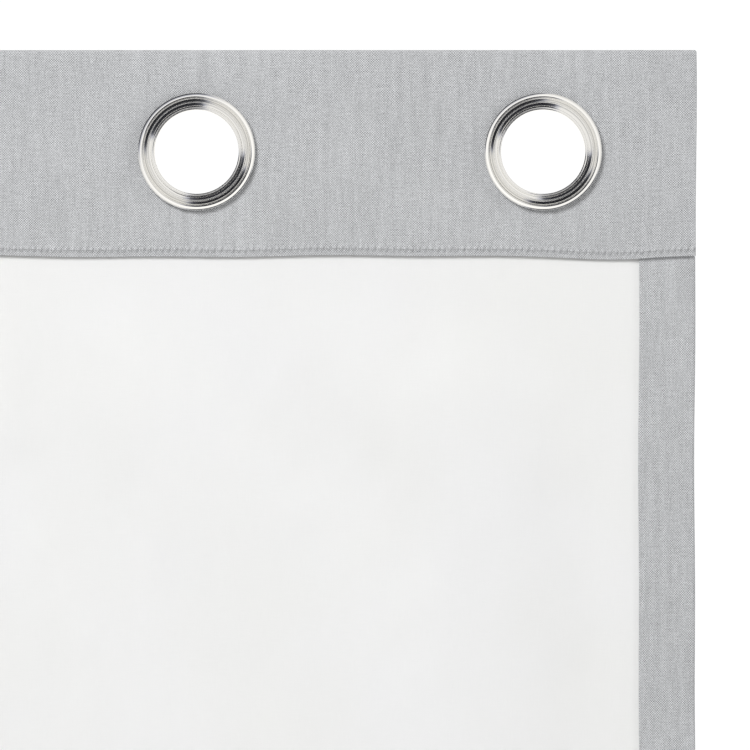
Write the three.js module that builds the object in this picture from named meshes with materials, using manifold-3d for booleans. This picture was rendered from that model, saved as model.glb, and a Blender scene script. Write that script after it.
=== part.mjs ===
// A lined curtain panel with a grommet (eyelet) top, hanging flat.
//
// Units are millimetres. +Z is up, +X runs along the width and +Y points into the room: the decorative side of
// the face fabric looks along +Y and the lining looks along -Y. The origin is the centre of the eye of the end
// grommet, on the middle plane of the header, where the rod carries the panel. Grommets and pleats are numbered
// from that end, towards -X.
//
// One width of face fabric is turned back over both sides, folded down behind as the header and folded up as the
// bottom hem. A stiffener lies in the header, a lining hangs behind, and each two-part grommet clamps the header
// from both sides. The cloth folds on a vertical line midway between two grommets, so each pleat between two such
// lines is its own rigid group, and the lines are the panel's hinges. The first fold is a narrow strip with a hinge
// at each side: it faces along the rod whether the panel hangs flat or is pushed together, so the rest turns from it.
import * as THREE from 'three';
import { mergeVertices } from 'three/addons/utils/BufferGeometryUtils.js';
import Module from 'manifold-3d';

const wasm = await Module();
wasm.setup();

// Driving dimensions
const PANEL_WIDTH = 1320.8; // 52 in
const PANEL_LENGTH = 2133.6; // 84 in
const GROMMET_COUNT = 8;
const END_MARGIN = 73.7; // from a side edge to the nearest grommet's centre
const GROMMET_DROP = 49.5; // from the top edge to the grommets' centres
const HEADER_DEPTH = 101; // how far the face fabric is folded down behind
const SIDE_TURN = 27; // how far it is turned back at each side
const HEM_DEPTH = 76; // bottom hem
const SHEET = 0.5; // thickness of every layer of cloth
const LAYER_GAP = 0.3; // air between two layers
const FOLD_GAP = 1; // slot between two pleats, with the hinge in the middle of it
const CREST_WIDTH = 12; // of the strip at the first fold

// Layers of cloth are counted from the room side
const LAYER = { face: 0, hem: 1, stiffener: 1, lining: 2, sideTurn: 3, label: 3, header: 4 };
const STACK = 5 * SHEET + 4 * LAYER_GAP;
const FRONT = STACK / 2;

const PITCH = (PANEL_WIDTH - 2 * END_MARGIN) / (GROMMET_COUNT - 1);
const TOP = GROMMET_DROP;
const BOTTOM = TOP - PANEL_LENGTH;
const HEADER_END = TOP - HEADER_DEPTH;
const RIGHT_EDGE = END_MARGIN;
const LEFT_EDGE = RIGHT_EDGE - PANEL_WIDTH;

// Lining, stiffener and label
const LINING_TUCK = 15; // of lining under the header
const LINING_OVERLAP = 12; // of lining under each side turn
const LINING_RAISE = 25; // from the bottom edge up to the lining's own edge
const STIFFENER_MARGIN = 3; // inside the folds at the top and the sides
const STIFFENER_END = HEADER_END + LINING_TUCK + 1;
const LABEL = { width: 24, height: 40, rise: 160 }; // rise: from the bottom edge to the label's lower edge

// Grommets: a male half from the room side, whose barrel is curled over a washer on the lining side
const EYE_RADIUS = 20.4;
const RIM_RADIUS = 28.5;
const METAL = 0.8;
const BARREL_RADIUS = EYE_RADIUS + METAL;
const CLEARANCE = 0.3;
const HOLE_RADIUS = BARREL_RADIUS + 0.7; // punched through header, stiffener and face fabric
const CROWN_RISE = 4; // the dome's height over the cloth
const CURL_RISE = 3.6; // the curled edge's height over the cloth on the lining side
const CURL_WIDTH = 3.4; // from the eye out to the curl's edge
const LIP_RISE = 1.6; // the washer's outer lip
const LIP_WIDTH = 2.5;
const RING_SEGMENTS = 24;
const FOLD_SEGMENTS = 4; // of each half-round fold

const MATERIALS = {
  face_fabric: new THREE.MeshStandardMaterial({ color: 0xbec0c2, roughness: 0.95, metalness: 0 }),
  lining: new THREE.MeshStandardMaterial({ color: 0xf1f1f0, roughness: 0.8, metalness: 0 }),
  stiffener: new THREE.MeshStandardMaterial({ color: 0xe9e8e2, roughness: 0.9, metalness: 0 }),
  grommet: new THREE.MeshStandardMaterial({ color: 0xdcdcda, roughness: 0.08, metalness: 1 }),
  label: new THREE.MeshStandardMaterial({ color: 0xf4f3ef, roughness: 0.6, metalness: 0 }),
};

/** The y of a layer's back and front faces. */
function layer(index) {
  const front = FRONT - index * (SHEET + LAYER_GAP);
  return { back: front - SHEET, front };
}

function named(name, geometry, material) {
  const mesh = new THREE.Mesh(geometry, MATERIALS[material]);
  mesh.name = name;
  return mesh;
}

/** A closed block between two corners. */
function block(x0, x1, y0, y1, z0, z1) {
  const geometry = new THREE.BoxGeometry(x1 - x0, y1 - y0, z1 - z0);
  return geometry.translate((x0 + x1) / 2, (y0 + y1) / 2, (z0 + z1) / 2);
}

/** A section drawn in (y, z), run from x0 to x1. */
function alongWidth(section, x0, x1) {
  const options = { depth: x1 - x0, bevelEnabled: false, curveSegments: FOLD_SEGMENTS };
  const toFrame = new THREE.Matrix4().makeBasis(
    new THREE.Vector3(0, 1, 0), new THREE.Vector3(0, 0, 1), new THREE.Vector3(1, 0, 0));
  return new THREE.ExtrudeGeometry(section, options).applyMatrix4(toFrame).translate(x0, 0, 0);
}

/** A profile of [radius, y] points, turned round the Y axis. */
function turned(profile) {
  const points = [...profile, profile[0]].map(([radius, y]) => new THREE.Vector2(radius, y));
  return new THREE.LatheGeometry(points, RING_SEGMENTS);
}

function toSolid(geometry) {
  const bare = geometry.clone();
  bare.deleteAttribute('normal');
  bare.deleteAttribute('uv');
  const merged = mergeVertices(bare);
  return new wasm.Manifold(new wasm.Mesh({
    numProp: 3,
    vertProperties: merged.attributes.position.array,
    triVerts: new Uint32Array(merged.index.array),
  }));
}

function toGeometry(solid) {
  const { vertProperties, triVerts } = solid.getMesh();
  return new THREE.BufferGeometry()
    .setAttribute('position', new THREE.BufferAttribute(vertProperties, 3))
    .setIndex(new THREE.BufferAttribute(triVerts, 1))
    .toNonIndexed();
}

/** The round hole for one grommet's barrel, through every layer of the header. */
function punch(x) {
  const cutter = new THREE.CylinderGeometry(HOLE_RADIUS, HOLE_RADIUS, 4 * STACK, RING_SEGMENTS);
  return toSolid(cutter.translate(x, 0, 0));
}

/** The face fabric from the header's lower edge, over the top, down the room side and up into the hem. */
function clothSection() {
  const face = layer(LAYER.face);
  const header = layer(LAYER.header);
  const hem = layer(LAYER.hem);
  const foldTop = TOP - FRONT;
  const hemRadius = (face.front - hem.back) / 2;
  const hemMiddle = (face.front + hem.back) / 2;
  const hemFold = BOTTOM + hemRadius;
  const section = new THREE.Shape();
  section.moveTo(header.back, HEADER_END);
  section.lineTo(header.back, foldTop);
  section.absarc(0, foldTop, FRONT, Math.PI, 0, true);
  section.lineTo(face.front, hemFold);
  section.absarc(hemMiddle, hemFold, hemRadius, 0, -Math.PI, true);
  section.lineTo(hem.back, BOTTOM + HEM_DEPTH);
  section.lineTo(hem.front, BOTTOM + HEM_DEPTH);
  section.lineTo(hem.front, hemFold);
  section.absarc(hemMiddle, hemFold, hemRadius - SHEET, -Math.PI, 0, false);
  section.lineTo(face.back, foldTop);
  section.absarc(0, foldTop, FRONT - SHEET, 0, Math.PI, false);
  section.lineTo(header.front, HEADER_END);
  section.closePath();
  return section;
}

/** The cloth turned back over one side edge; inward is -1 at the right edge and 1 at the left one. */
function sideTurn(edge, inward) {
  const face = layer(LAYER.face);
  const turn = layer(LAYER.sideTurn);
  const ends = (depth) => [edge, edge + inward * depth].sort((a, b) => a - b);
  const [wall0, wall1] = ends(SHEET);
  const [turn0, turn1] = ends(SIDE_TURN);
  const underFold = TOP - FRONT;
  return toSolid(block(wall0, wall1, turn.back, face.front, BOTTOM, underFold))
    .add(toSolid(block(turn0, turn1, turn.back, turn.front, BOTTOM, underFold)));
}

/** Cuts the grommet's hole out of a strip that has a grommet. */
function punched(solid, strip) {
  return 'eye' in strip ? solid.subtract(punch(strip.eye)) : solid;
}

function faceFabric(strip) {
  const cloth = toSolid(alongWidth(clothSection(), strip.x0, strip.x1));
  const turns = [];
  if (strip.x1 === RIGHT_EDGE) turns.push(sideTurn(RIGHT_EDGE, -1));
  if (strip.x0 === LEFT_EDGE) turns.push(sideTurn(LEFT_EDGE, 1));
  const whole = turns.reduce((solid, turn) => solid.add(turn), cloth);
  return named(`face_fabric_${strip.name}`, toGeometry(punched(whole, strip)), 'face_fabric');
}

/** A strip's own stretch of something that stops short of both side edges. */
function within(strip, inset) {
  return [Math.max(strip.x0, LEFT_EDGE + inset), Math.min(strip.x1, RIGHT_EDGE - inset)];
}

function lining(strip) {
  const [x0, x1] = within(strip, SIDE_TURN - LINING_OVERLAP);
  const { back, front } = layer(LAYER.lining);
  const sheet = block(x0, x1, back, front, BOTTOM + LINING_RAISE, HEADER_END + LINING_TUCK);
  return named(`lining_${strip.name}`, sheet, 'lining');
}

function headerStiffener(strip) {
  const [x0, x1] = within(strip, STIFFENER_MARGIN);
  const { back, front } = layer(LAYER.stiffener);
  const sheet = toSolid(block(x0, x1, back, front, STIFFENER_END, TOP - STIFFENER_MARGIN));
  return named(`header_stiffener_${strip.name}`, toGeometry(punched(sheet, strip)), 'stiffener');
}

/** The room side: a pressed dome, hollow below, with a barrel that is curled over the washer. */
function grommetFront(pleat) {
  const seat = FRONT + CLEARANCE;
  const crown = FRONT + CROWN_RISE;
  const washerTop = -FRONT - CLEARANCE - METAL;
  const curlSeat = washerTop - CLEARANCE;
  const curlEnd = -FRONT - CURL_RISE;
  const curlReach = EYE_RADIUS + CURL_WIDTH;
  const middle = (EYE_RADIUS + RIM_RADIUS) / 2;
  const profile = [
    [EYE_RADIUS, crown - 1.9],
    [EYE_RADIUS, curlEnd + 1.6],
    [EYE_RADIUS + 0.5, curlEnd + 0.6],
    [EYE_RADIUS + 1.3, curlEnd],
    [curlReach - 1.1, curlEnd],
    [curlReach, curlEnd + 1.3],
    [curlReach, curlSeat],
    [BARREL_RADIUS, curlSeat],
    [BARREL_RADIUS, crown - 1.9 - METAL / 2],
    [middle - 1.7, crown - METAL],
    [middle + 1.5, crown - METAL],
    [RIM_RADIUS - 1.8, crown - 1.9],
    [RIM_RADIUS - METAL, seat],
    [RIM_RADIUS, seat],
    [RIM_RADIUS - 1, crown - 1.4],
    [middle + 1.7, crown],
    [middle - 1.9, crown],
  ];
  return named(`grommet_front_${pleat.name}`, turned(profile).translate(pleat.eye, 0, 0), 'grommet');
}

/** The lining side: a flat washer with a raised outer lip, held by the curled barrel. */
function grommetWasher(pleat) {
  const seat = -FRONT - CLEARANCE;
  const flat = seat - METAL;
  const lip = -FRONT - LIP_RISE;
  const profile = [
    [BARREL_RADIUS + CLEARANCE, flat],
    [RIM_RADIUS - LIP_WIDTH, flat],
    [RIM_RADIUS - 1.8, lip],
    [RIM_RADIUS - 0.7, lip],
    [RIM_RADIUS, flat],
    [RIM_RADIUS, seat],
    [BARREL_RADIUS + CLEARANCE, seat],
  ];
  return named(`grommet_washer_${pleat.name}`, turned(profile).translate(pleat.eye, 0, 0), 'grommet');
}

/** A blank woven label, caught in the side seam of the first pleat near the bottom. */
function careLabel() {
  const { back, front } = layer(LAYER.label);
  const x1 = RIGHT_EDGE - SIDE_TURN - CLEARANCE;
  const z0 = BOTTOM + LABEL.rise;
  return named('care_label', block(x1 - LABEL.width, x1, back, front, z0, z0 + LABEL.height), 'label');
}

/** Where each pleat starts and ends, with its grommet's centre. */
function pleats() {
  const crestSide = (CREST_WIDTH + FOLD_GAP) / 2;
  return Array.from({ length: GROMMET_COUNT }, (_, i) => {
    const eye = -i * PITCH;
    const half = (PITCH - FOLD_GAP) / 2;
    let x0 = eye - half;
    let x1 = eye + half;
    if (i === 0) [x0, x1] = [x0 + crestSide, RIGHT_EDGE];
    if (i === 1) x1 -= crestSide;
    if (i === GROMMET_COUNT - 1) x0 = LEFT_EDGE;
    return { name: `${i + 1}`, eye, x0, x1 };
  });
}

/** The strip at the first fold, between the first two grommets. */
function crest() {
  return { name: 'crest', x0: (-PITCH - CREST_WIDTH) / 2, x1: (-PITCH + CREST_WIDTH) / 2 };
}

function clothOf(strip) {
  return [faceFabric(strip), lining(strip), headerStiffener(strip)];
}

const curtain = new THREE.Group();
const crestGroup = new THREE.Group();
crestGroup.name = 'crest';
crestGroup.add(...clothOf(crest()));
curtain.add(crestGroup);
for (const pleat of pleats()) {
  const group = new THREE.Group();
  group.name = `pleat_${pleat.name}`;
  group.add(...clothOf(pleat), grommetFront(pleat), grommetWasher(pleat));
  if (pleat.x1 === RIGHT_EDGE) group.add(careLabel());
  curtain.add(group);
}

export default curtain;
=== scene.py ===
import math

import bmesh
import bpy
import numpy as np
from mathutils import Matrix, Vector


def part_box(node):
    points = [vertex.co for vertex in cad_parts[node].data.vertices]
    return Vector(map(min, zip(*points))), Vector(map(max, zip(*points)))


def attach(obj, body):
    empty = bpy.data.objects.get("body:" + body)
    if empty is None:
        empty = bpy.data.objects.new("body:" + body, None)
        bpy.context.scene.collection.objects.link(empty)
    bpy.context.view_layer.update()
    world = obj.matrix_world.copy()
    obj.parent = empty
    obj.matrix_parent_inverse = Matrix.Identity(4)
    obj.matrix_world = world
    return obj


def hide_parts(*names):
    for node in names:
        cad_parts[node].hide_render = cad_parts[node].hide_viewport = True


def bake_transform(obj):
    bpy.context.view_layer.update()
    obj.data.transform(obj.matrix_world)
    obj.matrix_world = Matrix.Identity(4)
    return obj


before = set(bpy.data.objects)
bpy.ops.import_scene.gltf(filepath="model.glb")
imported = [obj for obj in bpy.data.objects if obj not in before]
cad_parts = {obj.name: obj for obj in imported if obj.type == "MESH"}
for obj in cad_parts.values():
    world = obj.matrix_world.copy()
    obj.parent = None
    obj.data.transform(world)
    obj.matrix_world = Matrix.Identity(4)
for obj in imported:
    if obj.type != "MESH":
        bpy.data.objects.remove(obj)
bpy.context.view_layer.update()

# ---------------------------------------------------------------- sizes, in metres
MM = 0.001
SHEET = 0.5 * MM  # thickness of a layer of cloth
LEVEL = 0.8 * MM  # from one layer to the next
LINING_TUCK = 15 * MM  # of lining under the header
LINING_OVERLAP = 12 * MM  # of lining under each side turn
LINING_HEM = 22 * MM
HEM_DEPTH = 76 * MM
SIDE_TURN = 27 * MM
FINE_STEP = 3 * MM  # of the grid of cloth across the panel, and down the header
MIDDLE_STEP = 6 * MM  # down the lining's upper part
COARSE_STEP = 14 * MM  # down the rest
YARN = 0.6 * MM  # from yarn to yarn in the face fabric
LINING_YARN = 0.3 * MM
STITCH_INSET = 3.3 * MM
STITCH_PITCH = 3.1 * MM
STITCH_LENGTH = 2.4 * MM
THREAD_RADIUS = 0.18 * MM
BLEND_REACH = 54 * MM  # the table of pieces puts the ends of each bend this far to each side of a fold line
CREST_REACH = 30 * MM  # and this far past each hinge of the first fold

SLACK = 0.007  # of extra cloth in the hung sheets
CLOTH_FRAMES = 26
BILLOW_REACH = 0.12  # a hung sheet's shape is kept only where it is narrower than this
CRISPNESS = 0.6

EYE_RADIUS = 20.4 * MM
METAL = 0.8 * MM
HOLE_RADIUS = 22 * MM  # of the holes in the cloth

PLEATS = 8
near_low, near_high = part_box("face_fabric_1")
far_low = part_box(f"face_fabric_{PLEATS}")[0]
crest_low, crest_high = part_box("face_fabric_crest")
washer_low, washer_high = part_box("grommet_washer_1")
front_low, front_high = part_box("grommet_front_1")
label_low, label_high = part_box("care_label")
RIGHT = near_high.x
LEFT = far_low.x
TOP = near_high.z
BOTTOM = near_low.z
FRONT = near_high.y  # the stack of cloth lies from -FRONT to FRONT
HEADER_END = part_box("lining_1")[1].z - LINING_TUCK
LINING_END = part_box("lining_1")[0].z
LINING_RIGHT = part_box("lining_1")[1].x
LINING_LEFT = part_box(f"lining_{PLEATS}")[0].x
EYES = [sum((c.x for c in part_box(f"grommet_washer_{n}"))) / 2 for n in range(1, PLEATS + 1)]
PITCH = (EYES[0] - EYES[-1]) / (PLEATS - 1)
CREST = (crest_low.x + crest_high.x) / 2
RIM_RADIUS = washer_high.z

# Middle of each layer, counted from the room side
FACE_Y = FRONT - SHEET / 2
HEM_Y = FACE_Y - LEVEL
STIFFENER_Y = FACE_Y - LEVEL
LINING_Y = FACE_Y - 2 * LEVEL
HEADER_Y = FACE_Y - 4 * LEVEL


# ---------------------------------------------------------------- cloth simulation
def smooth(t):
    """0 to 1, flat at both ends."""
    t = np.clip(t, 0, 1)
    return t * t * (3 - 2 * t)


def spline(grid, left, top, step):
    """A smooth function of (x, z) from a grid of values, rows down and columns across."""
    padded = np.pad(grid, 1, mode="edge")
    rows, cols = grid.shape

    def shares(t):
        return (
            (1 - t) ** 3 / 6,
            (3 * t**3 - 6 * t**2 + 4) / 6,
            (-3 * t**3 + 3 * t**2 + 3 * t + 1) / 6,
            t**3 / 6,
        )

    def value(x, z):
        across = np.clip((x - left) / step, 0, cols - 1.001)
        along = np.clip((top - z) / step, 0, rows - 1.001)
        col, row = across.astype(int), along.astype(int)
        total = 0
        for i, row_share in enumerate(shares(along - row)):
            for j, col_share in enumerate(shares(across - col)):
                total = total + row_share * col_share * padded[row + i, col + j]
        return total

    return value


def blurred(grid, reach):
    """The grid, averaged over the neighbours within reach."""
    kernel = np.hanning(2 * reach + 3)[1:-1]
    kernel = kernel / kernel.sum()
    for axis in (0, 1):
        room = [(reach, reach) if side == axis else (0, 0) for side in (0, 1)]
        padded = np.pad(grid, room, mode="edge")
        grid = np.apply_along_axis(np.convolve, axis, padded, kernel, mode="valid")
    return grid


def loose_share(x, z, left, right, top, reach):
    """0 at a sheet's sewn edges, and 1 from the reach inwards."""
    return smooth((x - left) / reach) * smooth((right - x) / reach) * smooth((top - z) / reach)


def hung_sheet(left, right, top, bottom, step, pull, seed):
    """The creases of loose cloth, sewn at its top and sides and hung by simulation: a function of (x, z)."""
    cols = round((right - left) / step) + 1
    rows = round((top - bottom) / step) + 1
    x, z = np.meshgrid(left + step * np.arange(cols), top - step * np.arange(rows))
    inside = loose_share(x, z, left, right, top, reach=0.1)
    coarse = 4  # steps of the sheet to one of the grid that makes its start uneven
    size = (math.ceil(rows / coarse) + 2, math.ceil(cols / coarse) + 2)
    uneven = spline(np.random.default_rng(seed).normal(size=size), left, top, coarse * step)
    y = -inside * (1.5 + uneven(x, z)) * MM
    number = np.arange(x.size).reshape(x.shape)
    faces = np.stack([number[:-1, :-1], number[:-1, 1:], number[1:, 1:], number[1:, :-1]], axis=2)
    piece = new_mesh("hung_sheet", np.stack([x, y, z], axis=2).reshape(-1, 3), faces.reshape(-1, 4))
    sewn = np.ones(x.shape, bool)
    sewn[1:, 1:-1] = False
    piece.vertex_groups.new(name="sewn").add(number[sewn].tolist(), 1.0, "REPLACE")
    cloth = piece.modifiers.new("cloth", "CLOTH")
    cloth.settings.quality = 5
    cloth.settings.mass = 0.03
    cloth.settings.tension_stiffness = 30
    cloth.settings.compression_stiffness = 30
    cloth.settings.shear_stiffness = 12
    cloth.settings.bending_stiffness = 0.4
    cloth.settings.air_damping = 2
    cloth.settings.shrink_min = -SLACK
    cloth.settings.vertex_group_mass = "sewn"
    cloth.collision_settings.use_collision = False
    cloth.point_cache.frame_end = CLOTH_FRAMES
    scene = bpy.context.scene
    scene.gravity = pull
    for number_of_frame in range(1, CLOTH_FRAMES + 1):
        scene.frame_set(number_of_frame)
    hung = piece.evaluated_get(bpy.context.evaluated_depsgraph_get()).to_mesh()
    place = np.zeros(x.size * 3, np.float32)
    hung.vertices.foreach_get("co", place)
    scene.frame_set(1)
    bpy.data.objects.remove(piece)
    out = -place.reshape(rows, cols, 3)[..., 1].astype(float)
    creases = (out - blurred(out, round(BILLOW_REACH / step))) * inside
    crisp = creases + CRISPNESS * (creases - blurred(creases, 1))
    return spline(crisp, left, top, step)


def swell(sheet, left, right, top, share, billow, limit):
    """A sheet that stands out to one side by about the billow, creased, and softly held to the limit."""
    softness = 0.3 * MM

    def value(x, z):
        inside = loose_share(x, z, left, right, top, reach=0.08)
        out = share * sheet(x, z) + billow * inside
        out = (out + np.sqrt(out**2 + softness**2) - softness) / 2
        room = limit * (1 - 0.4 * smooth((top - z) / 1.4))
        return room * np.tanh(out / room)

    return value


# ---------------------------------------------------------------- shape of the hanging cloth
def hang(x, z):
    """How far the whole stack of cloth waves out of its plane. It swings to the outer side of each fold."""
    depth = smooth((HEADER_END + 0.02 - z) / 1.4)
    wave = np.cos(math.pi * (x - EYES[1] + PITCH / 2) / PITCH)
    drift = 0.12 * np.sin(2.3 * z + 1.1) + 0.1 * np.sin(5.1 * x + 3.7 * z)
    return (0.25 * MM + 7.5 * MM * depth * (1 + drift)) * wave


def header_sag(x):
    """How far the header's lower edge hangs below its line."""
    at_turn = np.exp(-(((x - RIGHT + 36 * MM) / (24 * MM)) ** 2))
    at_far_turn = np.exp(-(((x - LEFT - 36 * MM) / (24 * MM)) ** 2))
    ripple = 0.35 * np.sin(2 * math.pi * (x + 0.03) / 0.21) + 0.25 * np.sin(2 * math.pi * x / 0.083)
    return (1.2 * (at_turn + at_far_turn) + ripple - 1.1) * MM


def header_bulge(x):
    """How far the header stands out at the sides, where it lies over the side turns' cloth."""
    near = smooth((x - (RIGHT - SIDE_TURN - 8 * MM)) / (9 * MM))
    far = smooth((LEFT + SIDE_TURN + 8 * MM - x) / (9 * MM))
    return LEVEL * (near + far)


def header_pillow(x, z):
    """How far the header's cloth stands out between the grommets that pinch it."""
    nearest = np.min([np.hypot(x - eye, z) for eye in EYES], axis=0)
    free = 1 - np.exp(-np.maximum(nearest - RIM_RADIUS, 0) / (9 * MM))
    edges = smooth((TOP - z) / (12 * MM)) * smooth((z - HEADER_END) / (8 * MM))
    uneven = 1 + 0.35 * np.sin(31 * x + 17 * z) * np.sin(47 * z - 23 * x + 1)
    return 0.45 * MM * free * edges * uneven


def edge_waver(z):
    """The side edges aren't quite straight."""
    return (0.3 * np.sin(2 * math.pi * (z + 0.07) / 0.37) + 0.2 * np.sin(2 * math.pi * z / 0.119)) * MM


def flap_y(x, z):
    """The header's turned-down flap, on the lining side."""
    return HEADER_Y - header_bulge(x) - header_pillow(x, z) + hang(x, z)


def room_y(x, z):
    """The face fabric's room side."""
    return FACE_Y + header_pillow(x, z) + face_swell(x, z) + hang(x, z)


def lining_y(x, z):
    """The lining's outer side. It hangs over the face fabric's hem."""
    over_hem = smooth((BOTTOM + HEM_DEPTH + 0.03 - z) / 0.03)
    return LINING_Y + hang(x, z) - lining_swell(x, z) - MM * over_hem


# ---------------------------------------------------------------- grids of cloth
def steps(start, end, step):
    """Even steps from start up to but without end."""
    count = max(1, round(abs(end - start) / step))
    return np.linspace(start, end, count, endpoint=False)


def columns(left, right):
    """Places across the panel from left to right, with one at each grommet's centre and at the first fold."""
    marks = sorted([left, right, CREST] + [e for e in EYES if left < e < right])
    return np.concatenate([steps(a, b, FINE_STEP) for a, b in zip(marks, marks[1:])] + [[right]])


def arc(centre, radius, start, end, count):
    """Points on a round fold in the (y, z) plane; angles are from +Y towards +Z."""
    angles = np.linspace(start, end, count)
    return np.stack([centre[0] + radius * np.cos(angles), centre[1] + radius * np.sin(angles)], axis=1)


def down(y, start, end, step):
    """Points straight down in the (y, z) plane."""
    z = steps(start, end, step)
    return np.stack([np.full(len(z), y), z], axis=1)


def path_length(path):
    return np.concatenate([[0], np.cumsum(np.linalg.norm(np.diff(path, axis=0), axis=1))])


def grid_normals(points):
    """Unit normals of a grid of points, rows by columns."""
    normals = np.cross(np.gradient(points, axis=1), np.gradient(points, axis=0))
    return normals / np.maximum(np.linalg.norm(normals, axis=2, keepdims=True), 1e-12)


def corner_mean(grid):
    return (grid[:-1, :-1] + grid[1:, :-1] + grid[:-1, 1:] + grid[1:, 1:]) / 4


def punch(points, keep):
    """Takes the grommets' holes out of a grid, and moves the points round each hole onto its circle."""
    flat = points[..., [0, 2]]
    for eye in EYES:
        centre = np.array([eye, 0.0])
        hole = np.linalg.norm(corner_mean(flat) - centre, axis=2) < HOLE_RADIUS
        keep &= ~hole
        beside_hole = np.zeros(points.shape[:2], bool)
        beside_kept = np.zeros(points.shape[:2], bool)
        for rows in (slice(None, -1), slice(1, None)):
            for cols in (slice(None, -1), slice(1, None)):
                beside_hole[rows, cols] |= hole
                beside_kept[rows, cols] |= keep
        rim = beside_hole & beside_kept
        out = flat[rim] - centre
        out *= HOLE_RADIUS / np.linalg.norm(out, axis=1, keepdims=True)
        points[rim, 0] = eye + out[:, 0]
        points[rim, 2] = out[:, 1]
    return keep


def new_mesh(name, vertices, faces, smooth_faces=True, uv=None, normals=None):
    """A mesh of four-sided faces. uv and normals are per corner."""
    mesh = bpy.data.meshes.new(name)
    mesh.vertices.add(len(vertices))
    mesh.vertices.foreach_set("co", vertices.astype(np.float32).ravel())
    mesh.loops.add(faces.size)
    mesh.loops.foreach_set("vertex_index", faces.astype(np.int32).ravel())
    mesh.polygons.add(len(faces))
    mesh.polygons.foreach_set("loop_start", np.arange(0, faces.size, 4, dtype=np.int32))
    mesh.update(calc_edges=True)
    mesh.polygons.foreach_set("use_smooth", np.broadcast_to(smooth_faces, len(faces)).tolist())
    if uv is not None:
        mesh.uv_layers.new(name="cloth").data.foreach_set("uv", uv.astype(np.float32).ravel())
    if normals is not None:
        mesh.normals_split_custom_set(normals.tolist())
    mesh.update()
    piece = bpy.data.objects.new(name, mesh)
    bpy.context.scene.collection.objects.link(piece)
    return piece


def shell(name, points, normals, uv, keep, thickness=SHEET):
    """A closed sheet of cloth from a grid: two skins and a rim, over the kept cells."""
    rows, cols = keep.shape
    r, c = np.nonzero(keep)
    number = np.arange((rows + 1) * (cols + 1)).reshape(rows + 1, cols + 1)
    corners = [number[r, c], number[r, c + 1], number[r + 1, c + 1], number[r + 1, c]]
    padded = np.pad(keep, 1)
    neighbours = [padded[r, c + 1], padded[r + 1, c + 2], padded[r + 2, c + 1], padded[r + 1, c]]
    front = np.stack(corners, axis=1)
    edges = [
        np.stack([corners[(i + 1) % 4][~kept], corners[i][~kept]], axis=1)
        for i, kept in enumerate(neighbours)
    ]
    rim = np.concatenate(edges)
    used, compact = np.unique(front, return_inverse=True)
    front = compact.reshape(front.shape)
    rim = np.searchsorted(used, rim)
    below = len(used)
    faces = np.concatenate([
        front,
        front[:, ::-1] + below,
        np.stack([rim[:, 0], rim[:, 1], rim[:, 1] + below, rim[:, 0] + below], axis=1),
    ])
    place = points.reshape(-1, 3)[used]
    normal = normals.reshape(-1, 3)[used]
    flat = uv.reshape(-1, 2)[used]
    vertices = np.concatenate([place + normal * thickness / 2, place - normal * thickness / 2])
    corner_normals = np.concatenate([normal, -normal])[faces]
    corner_normals[2 * len(front):] = 0
    smooth_faces = np.arange(len(faces)) < 2 * len(front)
    corner_uv = np.concatenate([flat, flat])[faces]
    return new_mesh(name, vertices, faces, smooth_faces, corner_uv, corner_normals.reshape(-1, 3))


# ---------------------------------------------------------------- pieces cut at one fold each
def fold_pieces():
    """Each piece of cloth: its number, its bodies, where it starts and ends, and where it bends."""
    half_crest = (crest_high.x - crest_low.x) / 2
    made = [
        (1, "crest", "pleat_1", CREST, RIGHT, CREST, CREST + half_crest + CREST_REACH),
        (2, "crest", "pleat_2", EYES[1], CREST, CREST, CREST - half_crest - CREST_REACH),
    ]
    for n in range(2, PLEATS):
        fold = (EYES[n - 1] + EYES[n]) / 2
        end = LEFT if n == PLEATS - 1 else EYES[n]
        made.append(
            (n + 1, f"pleat_{n}", f"pleat_{n + 1}", end, EYES[n - 1], fold + BLEND_REACH, fold - BLEND_REACH)
        )
    return made


def between(places, low, high):
    """The columns from low to high; a piece at a side edge takes all that lie beyond it."""
    start = 0 if low <= places.min() + 20 * MM else int(np.argmin(np.abs(places - low)))
    end = len(places) - 1 if high >= places.max() - 20 * MM else int(np.argmin(np.abs(places - high)))
    return start, end


def bend(piece):
    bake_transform(piece)


def cut_to_pieces(kind, points, uv, keep, places, material, replaced):
    """Cuts a whole sheet into its pieces, one for each fold, and hides the CAD nodes that each one stands for.
    """
    normals = grid_normals(points)
    for number, body_a, body_b, low, high, bend_start, bend_end in fold_pieces():
        c0, c1 = between(places, low, high)
        cols = slice(c0, c1 + 1)
        piece = shell(f"{kind}_{number}", points[:, cols], normals[:, cols], uv[:, cols], keep[:, c0:c1])
        piece.data.materials.append(material)
        bend(piece)
        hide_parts(*replaced(number))


def cad_nodes(kind):
    """The CAD nodes that a numbered piece stands for."""
    def nodes(number):
        return [f"{kind}_{number}"] + ([f"{kind}_crest"] if number == 1 else [])
    return nodes


# ---------------------------------------------------------------- face fabric
def face_path():
    """From the header's lower edge up, over the top, down the room side and up into the hem, in (y, z)."""
    fold_z = TOP - FRONT
    hem_radius = (FACE_Y - HEM_Y) / 2
    hem_z = BOTTOM + hem_radius + SHEET / 2
    flap = down(HEADER_Y, HEADER_END, fold_z, FINE_STEP)
    over = arc((0, fold_z), FACE_Y, math.pi, 0, 11)
    header = down(FACE_Y, fold_z, HEADER_END, FINE_STEP)[1:]
    body = down(FACE_Y, HEADER_END, hem_z, COARSE_STEP)
    under = arc(((FACE_Y + HEM_Y) / 2, hem_z), hem_radius, 0, -math.pi, 7)
    hem = down(HEM_Y, hem_z, BOTTOM + HEM_DEPTH, COARSE_STEP)[1:]
    end = np.array([[HEM_Y, BOTTOM + HEM_DEPTH]])
    counts = np.cumsum([len(flap), len(over), len(header) + len(body)])
    return np.concatenate([flap, over, header, body, under, hem, end]), counts


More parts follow.
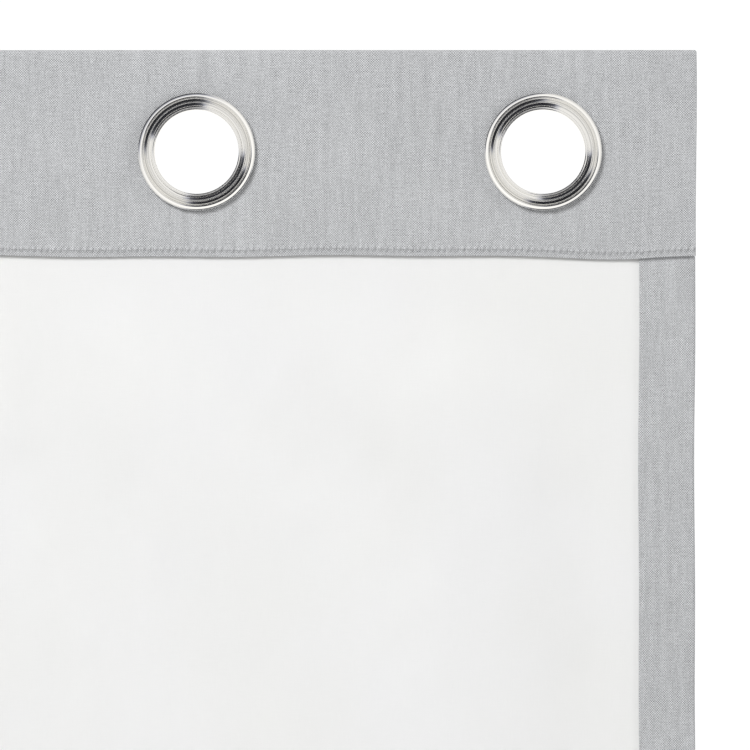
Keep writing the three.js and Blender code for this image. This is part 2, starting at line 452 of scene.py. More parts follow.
def face_fabric(material):
    """One cloth, with the header's flap, the hem and both side turns folded from it."""
    path, (last_flap, last_over, first_under) = face_path()
    along = path_length(path)
    row_y, row_z = path[:, 0], path[:, 1]

    # 1 on the flap and 0 on the room side, through the top fold
    flap_share = smooth((FACE_Y - row_y) / (FACE_Y - HEADER_Y))
    flap_share[last_over:] = 0
    turn_depth = 3 * LEVEL + (LEVEL - 3 * LEVEL) * flap_share
    turn_radius = turn_depth / 2

    main = columns(LEFT, RIGHT)
    angles = np.linspace(0, math.pi, 7)[1:]
    flat_turn = steps(0, 1, FINE_STEP / SIDE_TURN)[1:].tolist() + [1.0]
    turn_cols = len(angles) + len(flat_turn)
    places = np.concatenate([np.full(turn_cols, LEFT), main, np.full(turn_cols, RIGHT)])
    rows, cols = len(path), len(places)

    # Each row's direction towards the inside of the folded cloth
    inward = np.zeros((rows, 2))
    inward[:last_flap] = (1, 0)
    inward[last_flap:last_over] = -(path[last_flap:last_over] - (0, TOP - FRONT)) / FACE_Y
    inward[last_over:] = (-1, 0)

    x = np.zeros((rows, cols))
    depth = np.zeros((rows, cols))
    u = np.zeros((rows, cols))
    core = slice(turn_cols, turn_cols + len(main))
    # the last stretch at each side ends where the fold of the side turn begins
    near_share = smooth((main - EYES[0]) / (RIGHT - EYES[0]))
    far_share = smooth((EYES[-1] - main) / (EYES[-1] - LEFT))
    x[:, core] = main + turn_radius[:, None] * (far_share - near_share)
    u[:, core] = main
    for side, inwards, first, onward in ((RIGHT, -1, turn_cols + len(main), 1), (LEFT, 1, turn_cols - 1, -1)):
        for i, angle in enumerate(angles):
            col = first + onward * i
            x[:, col] = side + inwards * turn_radius * (1 - math.sin(angle))
            depth[:, col] = turn_radius * (1 - math.cos(angle))
            u[:, col] = side - inwards * turn_radius.max() * angle
        for i, share in enumerate(flat_turn):
            col = first + onward * (len(angles) + i)
            x[:, col] = side + inwards * (turn_radius + share * (SIDE_TURN - turn_radius))
            depth[:, col] = turn_depth
            u[:, col] = side - inwards * (turn_radius.max() * math.pi + share * SIDE_TURN)

    y = row_y[:, None] + inward[:, :1] * depth
    z = row_z[:, None] + inward[:, 1:] * depth
    sag_share = (1 - smooth((row_z - HEADER_END) / (60 * MM))) * (np.arange(rows) < last_flap)
    z = z - header_sag(x) * sag_share[:, None]
    flap = flap_y(x, z) - HEADER_Y
    room_rows = (np.arange(rows) < first_under)[:, None]
    room = np.where(room_rows, room_y(x, z) - FACE_Y, hang(x, z))
    room = np.where(depth > 0, hang(x, z), room)
    y = y + flap * flap_share[:, None] + room * (1 - flap_share[:, None])
    x = x + edge_waver(z) * smooth((np.abs(x - (LEFT + RIGHT) / 2) - 0.55) / 0.1)
    points = np.stack([x, y, z], axis=2)
    uv = np.stack([u, np.broadcast_to(along[:, None], u.shape)], axis=2)

    keep = np.ones((rows - 1, cols - 1), bool)
    turned_rows = np.arange(rows - 1) >= first_under
    keep[np.ix_(turned_rows, np.arange(cols - 1) < turn_cols)] = False
    keep[np.ix_(turned_rows, np.arange(cols - 1) >= turn_cols + len(main) - 1)] = False
    keep = punch(points, keep)
    cut_to_pieces(
        "face_fabric_piece", points, uv, keep, places, material, cad_nodes("face_fabric"))


# ---------------------------------------------------------------- lining and stiffener
def lining(material):
    hem_radius = LEVEL * 0.4
    end_z = LINING_END + hem_radius + SHEET / 2
    main = np.concatenate([
        down(LINING_Y, HEADER_END + LINING_TUCK, HEADER_END - 0.36, MIDDLE_STEP),
        down(LINING_Y, HEADER_END - 0.36, end_z, COARSE_STEP),
    ])
    under = arc((LINING_Y + hem_radius, end_z), hem_radius, -math.pi, 0, 5)
    hem = down(LINING_Y + 2 * hem_radius, end_z, LINING_END + LINING_HEM, MIDDLE_STEP)[1:]
    path = np.concatenate([main, under, hem])
    along = path_length(path)
    places = columns(LINING_LEFT, LINING_RIGHT)
    x, z = np.meshgrid(places, path[:, 1])
    y = path[:, :1] - LINING_Y + lining_y(x, z)
    points = np.stack([x, y, z], axis=2)
    uv = np.stack(np.broadcast_arrays(x, -along[:, None]), axis=2)
    keep = np.ones((len(path) - 1, len(places) - 1), bool)
    cut_to_pieces("lining_piece", points, uv, keep, places, material, cad_nodes("lining"))


def stiffener(material):
    low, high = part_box("header_stiffener_1")
    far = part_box(f"header_stiffener_{PLEATS}")[0]
    rows = np.append(steps(high.z, low.z, FINE_STEP), low.z)
    places = columns(far.x, high.x)
    x, z = np.meshgrid(places, rows)
    y = STIFFENER_Y + hang(x, z)
    points = np.stack([x, y, z], axis=2)
    uv = points[..., [0, 2]].copy()
    keep = punch(points, np.ones((len(rows) - 1, len(places) - 1), bool))
    cut_to_pieces(
        "stiffener_piece", points, uv, keep, places, material, cad_nodes("header_stiffener"))


# ---------------------------------------------------------------- stitching
def thread_rows():
    """Each row of stitches: its surface y and its height z, as functions of x, and the side it shows on."""
    def back_z(x):
        return HEADER_END + STITCH_INSET - header_sag(x)

    def front_z(x):
        return HEADER_END + STITCH_INSET + 0 * x

    def hem_z(x):
        return BOTTOM + HEM_DEPTH - STITCH_INSET + 0 * x

    def lining_hem_z(x):
        return LINING_END + LINING_HEM - STITCH_INSET + 0 * x

    return [
        (lambda x: flap_y(x, back_z(x)), back_z, -1, LEFT, RIGHT),
        (lambda x: room_y(x, front_z(x)), front_z, 1, LEFT, RIGHT),
        (lambda x: room_y(x, hem_z(x)), hem_z, 1, LEFT, RIGHT),
        (lambda x: lining_y(x, lining_hem_z(x)), lining_hem_z, -1, LEFT + SIDE_TURN, RIGHT - SIDE_TURN),
    ]


def stitch_points(x, surface, height, side):
    """Thin capsules along a row, one at each x, bowed so that their ends dip into the cloth."""
    rings, sides = 7, 6
    along = np.linspace(-1, 1, rings)
    radius = THREAD_RADIUS * np.sqrt(np.maximum(1 - along**8, 0.02))
    lift = (SHEET / 2 + 0.6 * THREAD_RADIUS) - 1.2 * THREAD_RADIUS * along**4
    turn = np.arange(sides) * 2 * math.pi / sides
    px = x[:, None] + along * STITCH_LENGTH / 2
    py = surface(px) + side * lift
    pz = height(px)
    vx = np.broadcast_to(px[..., None], (*px.shape, sides))
    vy = py[..., None] + radius[:, None] * np.cos(turn)
    vz = pz[..., None] + radius[:, None] * np.sin(turn)
    vertices = np.stack([vx, vy, vz], axis=-1).reshape(-1, 3)
    ring = np.arange(sides)
    after = (ring + 1) % sides
    faces = [
        np.stack(
            [r * sides + ring, r * sides + after, (r + 1) * sides + after, (r + 1) * sides + ring], axis=1)
        for r in range(rings - 1)
    ]
    last = (rings - 1) * sides
    caps = np.array([[3, 2, 1, 0], [5, 4, 3, 0], [last, last + 1, last + 2, last + 3],
                     [last, last + 3, last + 4, last + 5]])
    one = np.concatenate([*faces, caps])[:, ::-1]
    starts = np.arange(len(x)) * rings * sides
    return vertices, (starts[:, None, None] + one).reshape(-1, 4)


def stitching(material):
    for number, body_a, body_b, low, high, bend_start, bend_end in fold_pieces():
        vertices, faces, count = [], [], 0
        for surface, height, side, left, right in thread_rows():
            start, end = max(low, left + 2 * MM), min(high, right - 2 * MM)
            first = math.ceil((start - left) / STITCH_PITCH - 0.5)
            last = math.ceil((end - left) / STITCH_PITCH - 0.5)
            x = left + (np.arange(first, last) + 0.5) * STITCH_PITCH
            points, quads = stitch_points(x, surface, height, side)
            vertices.append(points)
            faces.append(quads + count)
            count += len(points)
        piece = new_mesh(f"stitching_{number}", np.concatenate(vertices), np.concatenate(faces))
        piece.data.materials.append(material)
        bend(piece)


# ---------------------------------------------------------------- care label
def care_label(material):
    """A blank satin strip, folded in two, whose ends are caught in the seam of the side turn."""
    thickness = 0.16 * MM
    gap = 0.7 * MM
    width = label_high.x - label_low.x
    outward = steps(0, width - gap / 2, MM)
    turn = np.linspace(-math.pi / 2, math.pi / 2, 9)
    reach = np.concatenate([outward, width - gap / 2 + gap / 2 * np.cos(turn), outward[::-1]])
    lift = np.concatenate([0 * outward, gap / 2 + gap / 2 * np.sin(turn), gap + 0 * outward])
    along = path_length(np.stack([reach, lift], axis=1))
    z = np.linspace(label_low.z, label_high.z, 17)
    across = (z - label_low.z) / (label_high.z - label_low.z)
    reach, height = np.meshgrid(reach, z, indexing="ij")
    free = smooth(reach / width)
    curl = free * (1.1 + 0.9 * np.sin(math.pi * across[None, :] * 1.4 + 0.5)) * MM
    x = label_high.x - reach
    z_swing = height - free * 0.6 * MM
    y = lining_y(x, z_swing) - SHEET / 2 - 0.3 * MM - lift[:, None] * (0.35 + 0.65 * free) - curl
    points = np.stack([x, y, z_swing], axis=2)
    uv = np.stack(np.broadcast_arrays(along[:, None], z[None, :]), axis=2)
    keep = np.ones((points.shape[0] - 1, points.shape[1] - 1), bool)
    piece = shell("blank_care_label", points, grid_normals(points), uv, keep, thickness)
    piece.data.materials.append(material)
    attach(piece, "pleat_1")
    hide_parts("care_label")


# ---------------------------------------------------------------- grommets
def softened(corners, count=7):
    """A closed outline of (radius, y, rounding) corners in millimetres, with each corner drawn as a curve."""
    points = []
    for i, (radius, y, rounding) in enumerate(corners):
        corner = Vector((radius, y))
        before = Vector(corners[i - 1][:2]) - corner
        after = Vector(corners[(i + 1) % len(corners)][:2]) - corner
        start = corner + before.normalized() * min(rounding, before.length * 0.49)
        end = corner + after.normalized() * min(rounding, after.length * 0.49)
        for t in np.linspace(0, 1, count):
            points.append((1 - t) ** 2 * start + 2 * t * (1 - t) * corner + t**2 * end)
    return np.array(points) * MM


def turned(name, outline, segments=128):
    """The ring that a closed outline of (radius, y) sweeps round the Y axis."""
    angles = np.arange(segments) * 2 * math.pi / segments
    radius, y = outline[:, 0], outline[:, 1]
    vertices = np.stack(np.broadcast_arrays(
        radius * np.cos(angles[:, None]), y, radius * np.sin(angles[:, None])), axis=-1).reshape(-1, 3)
    number = np.arange(len(vertices)).reshape(segments, len(outline))
    onward = np.roll(number, -1, axis=0)
    faces = np.stack([number, np.roll(number, -1, axis=1), np.roll(onward, -1, axis=1), onward], axis=2)
    ring = new_mesh(name, vertices, faces.reshape(-1, 4))
    shape = bmesh.new()
    shape.from_mesh(ring.data)
    bmesh.ops.recalc_face_normals(shape, faces=shape.faces)
    shape.to_mesh(ring.data)
    shape.free()
    return ring


def grommets(material):
    """The two halves of each grommet: a domed front, and a ring at the back that its barrel is rolled over."""
    eye, rim, metal = EYE_RADIUS / MM, RIM_RADIUS / MM, METAL / MM
    crown, curl = front_high.y / MM, front_low.y / MM
    seat, washer_seat, lip = FRONT / MM + 0.3, washer_high.y / MM, washer_low.y / MM
    middle = (eye + rim) / 2
    front_outline = softened([
        (eye, crown, 3.0),
        (middle, crown + 0.05, 2.0),
        (rim - 1.2, crown - 0.7, 2.2),
        (rim, seat + 0.9, 0.8),
        (rim, seat, 0.2),
        (rim - metal, seat, 0.2),
        (rim - metal - 0.9, crown - 1.6, 1.2),
        (middle, crown - metal, 2.0),
        (eye + metal, crown - metal, 2.0),
        (eye + metal, washer_seat - 1.1, 0.2),
        (eye + 3.7, washer_seat - 1.1, 0.3),
        (eye + 3.8, curl + 0.6, 0.7),
        (eye + 3.3, curl - 0.5, 0.45),
        (eye + 2.1, curl + 0.25, 0.6),
        (eye + 1.4, curl + 1.05, 0.4),
        (eye + 0.9, curl + 1.3, 0.3),
        (eye + 0.4, curl + 1.1, 0.3),
        (eye, curl + 1.5, 0.3),
    ])
    flat = washer_seat - metal
    washer_outline = softened([
        (eye + metal + 0.3, flat, 0.1),
        (eye + 4.1, flat, 0.5),
        (rim - 2.9, flat - 0.5, 0.5),
        (rim - 2.35, lip - 0.75, 0.3),
        (rim - 1.85, lip - 1.05, 0.35),
        (rim - 0.35, lip - 0.95, 0.35),
        (rim, lip - 0.3, 0.35),
        (rim, washer_seat, 0.15),
        (eye + metal + 0.3, washer_seat, 0.15),
    ])
    for kind, node, outline in (("eyelet", "front", front_outline), ("back_ring", "washer", washer_outline)):
        ring = turned(f"grommet_{kind}_1", outline)
        ring.data.materials.append(material)
        for number, place in enumerate(EYES, 1):
            if number > 1:
                ring = bpy.data.objects.new(f"grommet_{kind}_{number}", ring.data)
                bpy.context.scene.collection.objects.link(ring)
            ring.location = (place, 0, 0)
            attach(ring, f"pleat_{number}")
            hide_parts(f"grommet_{node}_{number}")


# ---------------------------------------------------------------- materials
class Nodes:
    """Short calls for building one material's or world's nodes."""

    def __init__(self, tree):
        self.nodes = tree.nodes
        self.links = tree.links

    def put(self, kind, inputs=(), **settings):
        node = self.nodes.new(kind)
        for name, value in settings.items():
            setattr(node, name, value)
        for name, value in dict(inputs).items():
            if isinstance(value, bpy.types.NodeSocket):
                self.links.new(value, node.inputs[name])
            else:
                node.inputs[name].default_value = value
        return node

    def maths(self, operation, *values):
        return self.put("ShaderNodeMath", enumerate(values), operation=operation).outputs[0]

    def vector(self, operation, *values):
        return self.put("ShaderNodeVectorMath", enumerate(values), operation=operation)

    def noise(self, vector, scale, detail=2.0, roughness=0.5):
        inputs = {"Vector": vector, "Scale": scale, "Detail": detail, "Roughness": roughness}
        return self.put("ShaderNodeTexNoise", inputs).outputs["Fac"]

    def spread(self, value, low, high, to_low=0.0, to_high=1.0, shape="LINEAR"):
        inputs = {0: value, 1: low, 2: high, 3: to_low, 4: to_high}
        return self.put("ShaderNodeMapRange", inputs, interpolation_type=shape).outputs[0]

    def point(self, x, y, z=0.0):
        return self.put("ShaderNodeCombineXYZ", {0: x, 1: y, 2: z}).outputs[0]

    def total(self, *values):
        result = values[0]
        for value in values[1:]:
            result = self.maths("ADD", result, value)
        return result


def principled(name):
    """A new material with its node calls and its shader."""
    material = bpy.data.materials.new(name)
    material.use_nodes = True
    return material, Nodes(material.node_tree), material.node_tree.nodes["Principled BSDF"]


def shaded(n, colour, shade):
    """The colour times the shade, to a colour socket."""
    scale = n.put("ShaderNodeVectorMath", {0: colour, "Scale": shade}, operation="SCALE")
    return scale.outputs[0]


def cloth_place(n, wander):
    """The place on the cloth, u and v in metres, with the yarns wandering a little."""
    uv = n.put("ShaderNodeUVMap", uv_map="cloth").outputs[0]
    drift = n.put("ShaderNodeTexNoise", {"Vector": uv, "Scale": 55.0, "Detail": 2.0}).outputs["Color"]
    drift = n.vector("SUBTRACT", drift, (0.5, 0.5, 0.5)).outputs[0]
    drift = n.put("ShaderNodeVectorMath", {0: drift, "Scale": wander}, operation="SCALE").outputs[0]
    moved = n.vector("ADD", uv, drift).outputs[0]
    flat = n.put("ShaderNodeSeparateXYZ", {0: moved})
    return uv, flat.outputs["X"], flat.outputs["Y"]


def plain_weave(n, u, v, pitch):
    """1 where an upright yarn lies on top, -1 where a crosswise yarn does, and 0 between the yarns."""
    upright = n.maths("SINE", n.maths("MULTIPLY", u, math.pi / pitch))
    crosswise = n.maths("SINE", n.maths("MULTIPLY", v, math.pi / pitch))
    return n.maths("MULTIPLY", upright, crosswise)


def yarn_tones(n, u, v, pitch, top):
    """Each yarn's own tone along its length, about 0.5, taken from whichever yarn lies on top."""
    upright = n.noise(n.point(n.maths("DIVIDE", u, pitch), n.maths("MULTIPLY", v, 120.0)), 1.0, 1.0)
    crosswise = n.noise(n.point(n.maths("MULTIPLY", u, 120.0), n.maths("DIVIDE", v, pitch), 7.0), 1.0, 1.0)
    share = n.maths("MULTIPLY_ADD", top, 0.5, 0.5)
    return n.put("ShaderNodeMix", {0: share, 2: crosswise, 3: upright}).outputs[0]


def stitch_puckers(n, u, v, rows):
    """Height of the cloth that the stitches draw in along each row, given by its v."""
    humps = n.maths("COSINE", n.maths("MULTIPLY", u, 2 * math.pi / STITCH_PITCH))
    humps = n.maths("MULTIPLY_ADD", humps, -0.5, 0.5)
    height = 0.0
    for row in rows:
        away = n.maths("DIVIDE", n.maths("SUBTRACT", v, row), 1.25 * MM)
        nearness = n.maths("EXPONENT", n.maths("MULTIPLY", n.maths("MULTIPLY", away, away), -1.0))
        height = n.maths("MULTIPLY_ADD", nearness, humps, height)
    return height


def woven_face(stitch_rows):
    """Grey plain weave in mixed yarns, slightly slubby, with a soft sheen, and a painted highlight on the
    stitch puckers.
    """
    material, n, shader = principled("face_fabric")
    uv, u, v = cloth_place(n, 0.35 * MM)
    weave = plain_weave(n, u, v, YARN)
    patches = n.spread(n.noise(uv, 75.0, 3.0, 0.6), 0.36, 0.62, 0.45, 1.0)
    crossings = n.maths("MULTIPLY", weave, patches)
    tones = n.maths("SUBTRACT", yarn_tones(n, u, v, YARN, weave), 0.5)
    slubs = n.noise(n.point(n.maths("MULTIPLY", u, 310.0), n.maths("MULTIPLY", v, 26.0), 3.0), 1.0, 2.0)
    slubs = n.maths("SUBTRACT", slubs, 0.5)
    specks = n.maths("SUBTRACT", n.noise(uv, 1150.0, 2.0, 0.7), 0.5)
    mottle = n.maths("SUBTRACT", n.noise(uv, 16.0, 3.0), 0.5)
    puckers_and_painted_highlight = stitch_puckers(n, u, v, stitch_rows)
    # the pucker term lightens the colour where the stitches puff the cloth up: a painted highlight
    shade = n.total(
        n.maths("MULTIPLY_ADD", crossings, FACE_CONTRAST, 1.0),
        n.maths("MULTIPLY", tones, 0.7),
        n.maths("MULTIPLY", specks, 0.95),
        n.maths("MULTIPLY", slubs, 0.28),
        n.maths("MULTIPLY", mottle, 0.12),
        n.maths("MULTIPLY", puckers_and_painted_highlight, 0.16),
    )
    n.links.new(shaded(n, FACE_COLOUR, shade), shader.inputs["Base Color"])
    n.links.new(n.spread(tones, -0.2, 0.2, 0.8, 0.95), shader.inputs["Roughness"])
    yarns = n.total(n.maths("MULTIPLY", crossings, 0.5), tones, n.maths("MULTIPLY", slubs, 0.5))
    weave_bump = n.put("ShaderNodeBump", {"Strength": 0.5, "Distance": 0.08 * MM, "Height": yarns})
    seam = {"Strength": 1.0, "Distance": 0.8 * MM, "Height": puckers_and_painted_highlight, "Normal": weave_bump.outputs[0]}
    n.links.new(n.put("ShaderNodeBump", seam).outputs[0], shader.inputs["Normal"])
    shader.inputs["Sheen Weight"].default_value = 0.12
    shader.inputs["Sheen Roughness"].default_value = 0.45
    shader.inputs["Specular IOR Level"].default_value = 0.25
    return material


def woven_lining():
    """Smooth off-white plain weave of fine yarns."""
    material, n, shader = principled("lining")
    uv, u, v = cloth_place(n, 0.15 * MM)
    weave = plain_weave(n, u, v, LINING_YARN)
    tones = n.maths("SUBTRACT", yarn_tones(n, u, v, LINING_YARN, weave), 0.5)
    bands = n.noise(n.point(n.maths("MULTIPLY", u, 140.0), n.maths("MULTIPLY", v, 9.0), 5.0), 1.0, 2.0)
    mottle = n.noise(uv, 14.0, 4.0, 0.55)
    shade = n.total(
        n.maths("MULTIPLY_ADD", weave, 0.025, 1.0),
        n.maths("MULTIPLY", tones, 0.07),
        n.maths("MULTIPLY_ADD", bands, 0.012, -0.006),
        n.maths("MULTIPLY_ADD", mottle, 0.02, -0.01),
    )
    warmth = n.spread(n.noise(uv, 9.0, 2.0), 0.35, 0.65)
    tint = n.put("ShaderNodeMix", {0: warmth, 6: (*LINING_COLOUR, 1), 7: (*LINING_WARM, 1)}, data_type="RGBA")
    n.links.new(shaded(n, tint.outputs[2], shade), shader.inputs["Base Color"])
    n.links.new(n.spread(mottle, 0.3, 0.7, 0.62, 0.74), shader.inputs["Roughness"])
    yarns = n.maths("MULTIPLY_ADD", weave, 0.5, tones)
    bump = n.put("ShaderNodeBump", {"Strength": 0.3, "Distance": 0.03 * MM, "Height": yarns})
    n.links.new(bump.outputs[0], shader.inputs["Normal"])
    shader.inputs["Sheen Weight"].default_value = 0.05
    shader.inputs["Specular IOR Level"].default_value = 0.25
    return material


def pressed_fibres():
    """The header's stiffener: thin non-woven fibre sheet."""
    material, n, shader = principled("stiffener")
    uv = n.put("ShaderNodeUVMap", uv_map="cloth").outputs[0]
    flat = n.put("ShaderNodeSeparateXYZ", {0: uv})
    u, v = flat.outputs["X"], flat.outputs["Y"]
    one_way = n.noise(n.point(n.maths("MULTIPLY", u, 1400.0), n.maths("MULTIPLY", v, 260.0)), 1.0, 3.0)
    other_way = n.noise(n.point(n.maths("MULTIPLY", u, 240.0), n.maths("MULTIPLY", v, 1300.0), 4.0), 1.0, 3.0)
    fibres = n.maths("MAXIMUM", one_way, other_way)
    shade = n.spread(fibres, 0.4, 0.75, 0.9, 1.06)
    n.links.new(shaded(n, (0.8, 0.79, 0.76), shade), shader.inputs["Base Color"])
    bump = n.put("ShaderNodeBump", {"Strength": 0.6, "Distance": 0.1 * MM, "Height": fibres})
    n.links.new(bump.outputs[0], shader.inputs["Normal"])
    shader.inputs["Roughness"].default_value = 0.9
    return material


def twisted_thread():
    """Polyester sewing thread, a shade lighter than the cloth, with its twist."""
    material, n, shader = principled("thread")
    place = n.put("ShaderNodeTexCoord").outputs["Object"]
    flat = n.put("ShaderNodeSeparateXYZ", {0: place})
    slant = n.total(flat.outputs["X"], flat.outputs["Z"])
    twist = n.maths("SINE", n.maths("MULTIPLY", slant, 2 * math.pi / (0.35 * MM)))
    tone = n.noise(place, 600.0)
    shade = n.total(n.maths("MULTIPLY_ADD", twist, 0.06, 0.9), n.maths("MULTIPLY", tone, 0.2))
    n.links.new(shaded(n, THREAD_COLOUR, shade), shader.inputs["Base Color"])
    bump = n.put("ShaderNodeBump", {"Strength": 0.5, "Distance": 0.04 * MM, "Height": twist})
    n.links.new(bump.outputs[0], shader.inputs["Normal"])
    shader.inputs["Roughness"].default_value = 0.55
    return material


def satin_label():
    """White satin ribbon with fine ribs and soft shine."""
    material, n, shader = principled("label")
    uv, u, v = cloth_place(n, 0.05 * MM)
    ribs = n.maths("SINE", n.maths("MULTIPLY", v, 2 * math.pi / (0.4 * MM)))
    yarns = n.noise(n.point(n.maths("MULTIPLY", u, 60.0), n.maths("MULTIPLY", v, 3500.0)), 1.0, 1.0)
    shade = n.total(n.maths("MULTIPLY_ADD", ribs, 0.02, 0.95), n.maths("MULTIPLY", yarns, 0.1))
    n.links.new(shaded(n, (0.9, 0.895, 0.87), shade), shader.inputs["Base Color"])
    n.links.new(n.spread(yarns, 0.3, 0.7, 0.3, 0.45), shader.inputs["Roughness"])
    height = n.maths("MULTIPLY_ADD", ribs, 0.5, yarns)
    bump = n.put("ShaderNodeBump", {"Strength": 0.4, "Distance": 0.05 * MM, "Height": height})
    n.links.new(bump.outputs[0], shader.inputs["Normal"])
    shader.inputs["Sheen Weight"].default_value = 0.1
    return material


def polished_chrome():
    """Chrome plate with faint turned lines, small scratches and a little haze."""
    material, n, shader = principled("chrome")
    place = n.put("ShaderNodeTexCoord").outputs["Object"]
    flat = n.put("ShaderNodeSeparateXYZ", {0: place})
    squares = n.maths("MULTIPLY", flat.outputs["Z"], flat.outputs["Z"])
    radius = n.maths("SQRT", n.maths("MULTIPLY_ADD", flat.outputs["X"], flat.outputs["X"], squares))
    lathe = n.point(n.maths("MULTIPLY", radius, 5200.0), n.maths("MULTIPLY", flat.outputs["Y"], 900.0))
    rings = n.noise(lathe, 1.0)
    haze = n.noise(place, 130.0, 4.0, 0.6)
    scratches = n.spread(n.noise(place, 900.0, 6.0, 0.7), 0.62, 0.7)
    gloss = n.total(
        n.spread(haze, 0.35, 0.7, 0.035, 0.085),
        n.maths("MULTIPLY", rings, 0.02),
        n.maths("MULTIPLY", scratches, 0.05),
    )
    n.links.new(gloss, shader.inputs["Roughness"])
    wear = n.maths("MULTIPLY_ADD", scratches, -0.03, 1.0)
    n.links.new(shaded(n, CHROME_COLOUR, wear), shader.inputs["Base Color"])
    surface = n.maths("MULTIPLY_ADD", rings, 0.5, scratches)
    bump = n.put("ShaderNodeBump", {"Strength": 0.1, "Distance": 0.01 * MM, "Height": surface})
    n.links.new(bump.outputs[0], shader.inputs["Normal"])
    shader.inputs["Metallic"].default_value = 1.0
    return material


# ---------------------------------------------------------------- the camera, light and floor
def camera():
    """Straight on to the lining side, at the top corner by the first grommet."""
    data = bpy.data.cameras.new("camera")
    data.sensor_width = 36
    field = 0.3635  # width of the view on the panel
    distance = 1.5
    below_top = 157.5 * MM
    past_crest = 2.5 * MM
    data.lens = data.sensor_width * distance / field
    data.clip_end = 100
    eye = bpy.data.objects.new("camera", data)
    bpy.context.scene.collection.objects.link(eye)
    eye.location = (CREST + past_crest, -distance, TOP - below_top)
    eye.rotation_euler = (math.radians(90), 0, 0)
    bpy.context.scene.camera = eye


def studio():
    """A white room, whose reflection has a dark card at the upper left and one at the lower right."""
    world = bpy.data.worlds.new("studio")
    bpy.context.scene.world = world
    world.use_nodes = True
    n = Nodes(world.node_tree)
    direction = n.put("ShaderNodeTexCoord").outputs["Generated"]
    sideways = n.vector("MULTIPLY", direction, (1.0, 0.0, 1.0)).outputs["Vector"]
    bearing = n.vector("NORMALIZE", sideways).outputs["Vector"]
    cards = [n.vector("DOT_PRODUCT", bearing, card).outputs["Value"] for card in DARK_CARDS]
    facing = n.spread(n.maths("MAXIMUM", *cards), 0.6, 0.88, shape="SMOOTHSTEP")
    reach = n.vector("LENGTH", sideways).outputs["Value"]
    nearness = n.maths("MULTIPLY", facing, n.spread(reach, 0.14, 0.42, shape="SMOOTHSTEP"))
    ramp = n.put("ShaderNodeValToRGB", {0: nearness})
    stops = ramp.color_ramp.elements
    stops[0].color = (1, 0.985, 0.955, 1)
    stops[1].color = (0.035, 0.036, 0.042, 1)
    stops.new(0.35).color = (0.55, 0.56, 0.62, 1)
    stops.new(0.6).color = (0.14, 0.145, 0.17, 1)
    # the white room, with greyer walls between its lights
    walls = n.put("ShaderNodeValToRGB", {0: reach})
    stops = walls.color_ramp.elements
    stops[0].color = (1.15, 1.15, 1.15, 1)
    stops[1].color = (0.95, 0.95, 0.95, 1)
    for share, tone in ((0.25, 1.0), (0.42, 0.6), (0.6, 0.98), (0.8, 0.5), (0.92, 0.85)):
        stops.new(share).color = (tone, tone, tone, 1)
    room = n.vector("MULTIPLY", ramp.outputs[0], walls.outputs[0]).outputs["Vector"]
    path = n.put("ShaderNodeLightPath").outputs
    fill = (*[FILL_LIGHT] * 3, 1)
    lit = n.put("ShaderNodeMix", {0: path["Is Glossy Ray"], 6: fill, 7: room}, data_type="RGBA")
    backdrop = (*[BACKDROP] * 3, 1)
    seen = {0: path["Is Camera Ray"], 6: lit.outputs[2], 7: backdrop}
    shown = n.put("ShaderNodeMix", seen, data_type="RGBA")
    n.links.new(shown.outputs[2], n.nodes["Background"].inputs["Color"])
    for name, place, size, power in SOFTBOXES:
        data = bpy.data.lights.new(name, "AREA")
        data.shape = "DISK"
        data.size = size
        data.energy = power
        lamp = bpy.data.objects.new(name, data)
        bpy.context.scene.collection.objects.link(lamp)
        lamp.location = place
        lamp.visible_glossy = False
        lamp.rotation_euler = (Vector((CREST, 0, -0.5)) - lamp.location).to_track_quat("-Z", "Y").to_euler()
    bpy.context.scene.view_settings.view_transform = "Standard"


def floor():
    """A pale floor that fades out into the white of the room."""
    bpy.ops.mesh.primitive_plane_add(size=60, location=((LEFT + RIGHT) / 2, 0, BOTTOM - FLOOR_GAP))
    ground = bpy.context.object
    ground.name = "floor"
    ground.visible_glossy = False
    material, n, shader = principled("floor")
    place = n.put("ShaderNodeTexCoord").outputs["Object"]
    away = n.vector("LENGTH", place).outputs["Value"]
    grain = n.noise(place, 30.0, 4.0)
    shade = n.spread(grain, 0.3, 0.7, 0.985, 1.0)
    n.links.new(shaded(n, FLOOR_COLOUR, shade), shader.inputs["Base Color"])
    shader.inputs["Roughness"].default_value = 0.75
    clear = n.put("ShaderNodeBsdfTransparent").outputs[0]
    fade = n.spread(away, 2.5, 9.0, shape="SMOOTHSTEP")
    mixed = n.put("ShaderNodeMixShader", {0: fade, 1: shader.outputs[0], 2: clear})
    n.links.new(mixed.outputs[0], n.nodes["Material Output"].inputs["Surface"])
    ground.data.materials.append(material)


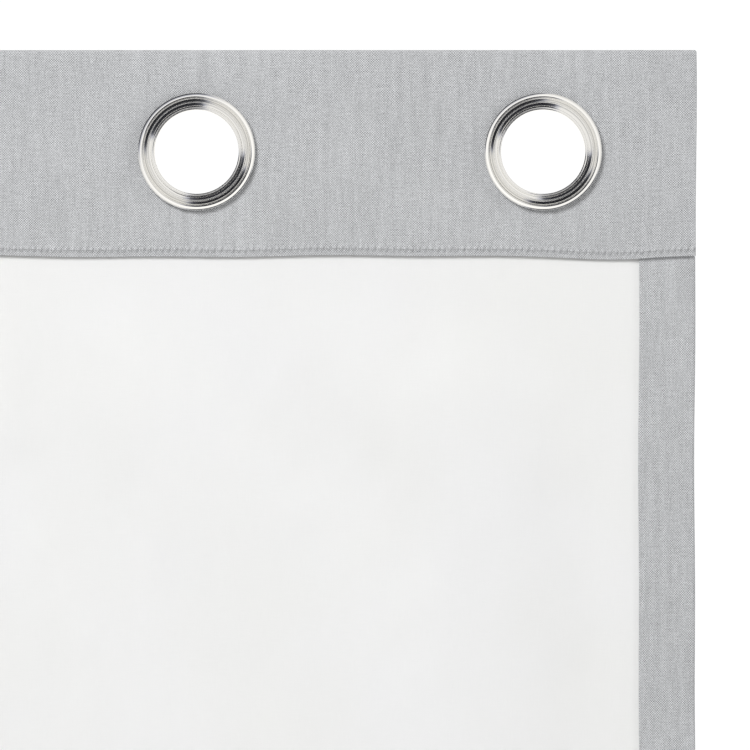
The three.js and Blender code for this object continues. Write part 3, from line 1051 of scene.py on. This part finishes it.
FACE_COLOUR = (0.506, 0.513, 0.524)
FACE_CONTRAST = 0.68
LINING_COLOUR = (0.885, 0.885, 0.885)
LINING_WARM = (0.88, 0.88, 0.868)
THREAD_COLOUR = (0.6, 0.605, 0.615)
CHROME_COLOUR = (0.93, 0.925, 0.91)
FLOOR_COLOUR = (0.86, 0.86, 0.855)
FLOOR_GAP = 0.3 * MM
FILL_LIGHT = 0.38
BACKDROP = 1.03  # just past white
DARK_CARDS = [(-0.61, 0.0, 0.79), (0.5, 0.0, -0.87)]  # directions to the upper left and lower right
SOFTBOXES = [  # name, place, size and power
    ("key", (-2.0, -2.8, 2.2), 1.8, 121),
    ("side", (4.6, -1.2, 0.6), 1.6, 50),
    ("room_side", (2.2, 4.3, 1.6), 2.4, 150),
]

camera()
studio()
floor()

# left, right, top and bottom of the loose part of each sheet
LINING_SHEET = (
    LINING_LEFT + LINING_OVERLAP,
    LINING_RIGHT - LINING_OVERLAP,
    HEADER_END,
    LINING_END + LINING_HEM,
)
FACE_SHEET = (LEFT + SIDE_TURN, RIGHT - SIDE_TURN, HEADER_END, BOTTOM + HEM_DEPTH)
lining_sheet = hung_sheet(*LINING_SHEET, step=12.5 * MM, pull=(4.0, -0.8, -9.0), seed=3)
face_sheet = hung_sheet(*FACE_SHEET, step=20 * MM, pull=(-1.6, -0.8, -9.3), seed=8)
lining_swell = swell(lining_sheet, *LINING_SHEET[:3], share=1.5, billow=2.6 * MM, limit=6 * MM)
face_swell = swell(face_sheet, *FACE_SHEET[:3], share=0.9, billow=1.6 * MM, limit=5 * MM)

path, corners = face_path()
v_along = path_length(path)
room_start = v_along[corners[1]] + path[corners[1], 1]  # v of the room side at z = 0
FLAP_ROW = STITCH_INSET
FRONT_ROW = room_start - HEADER_END - STITCH_INSET
HEM_ROW = room_start - (BOTTOM + HEM_DEPTH - STITCH_INSET)

face_fabric(woven_face((FLAP_ROW, FRONT_ROW, HEM_ROW)))
lining(woven_lining())
stiffener(pressed_fibres())
stitching(twisted_thread())
care_label(satin_label())
grommets(polished_chrome())
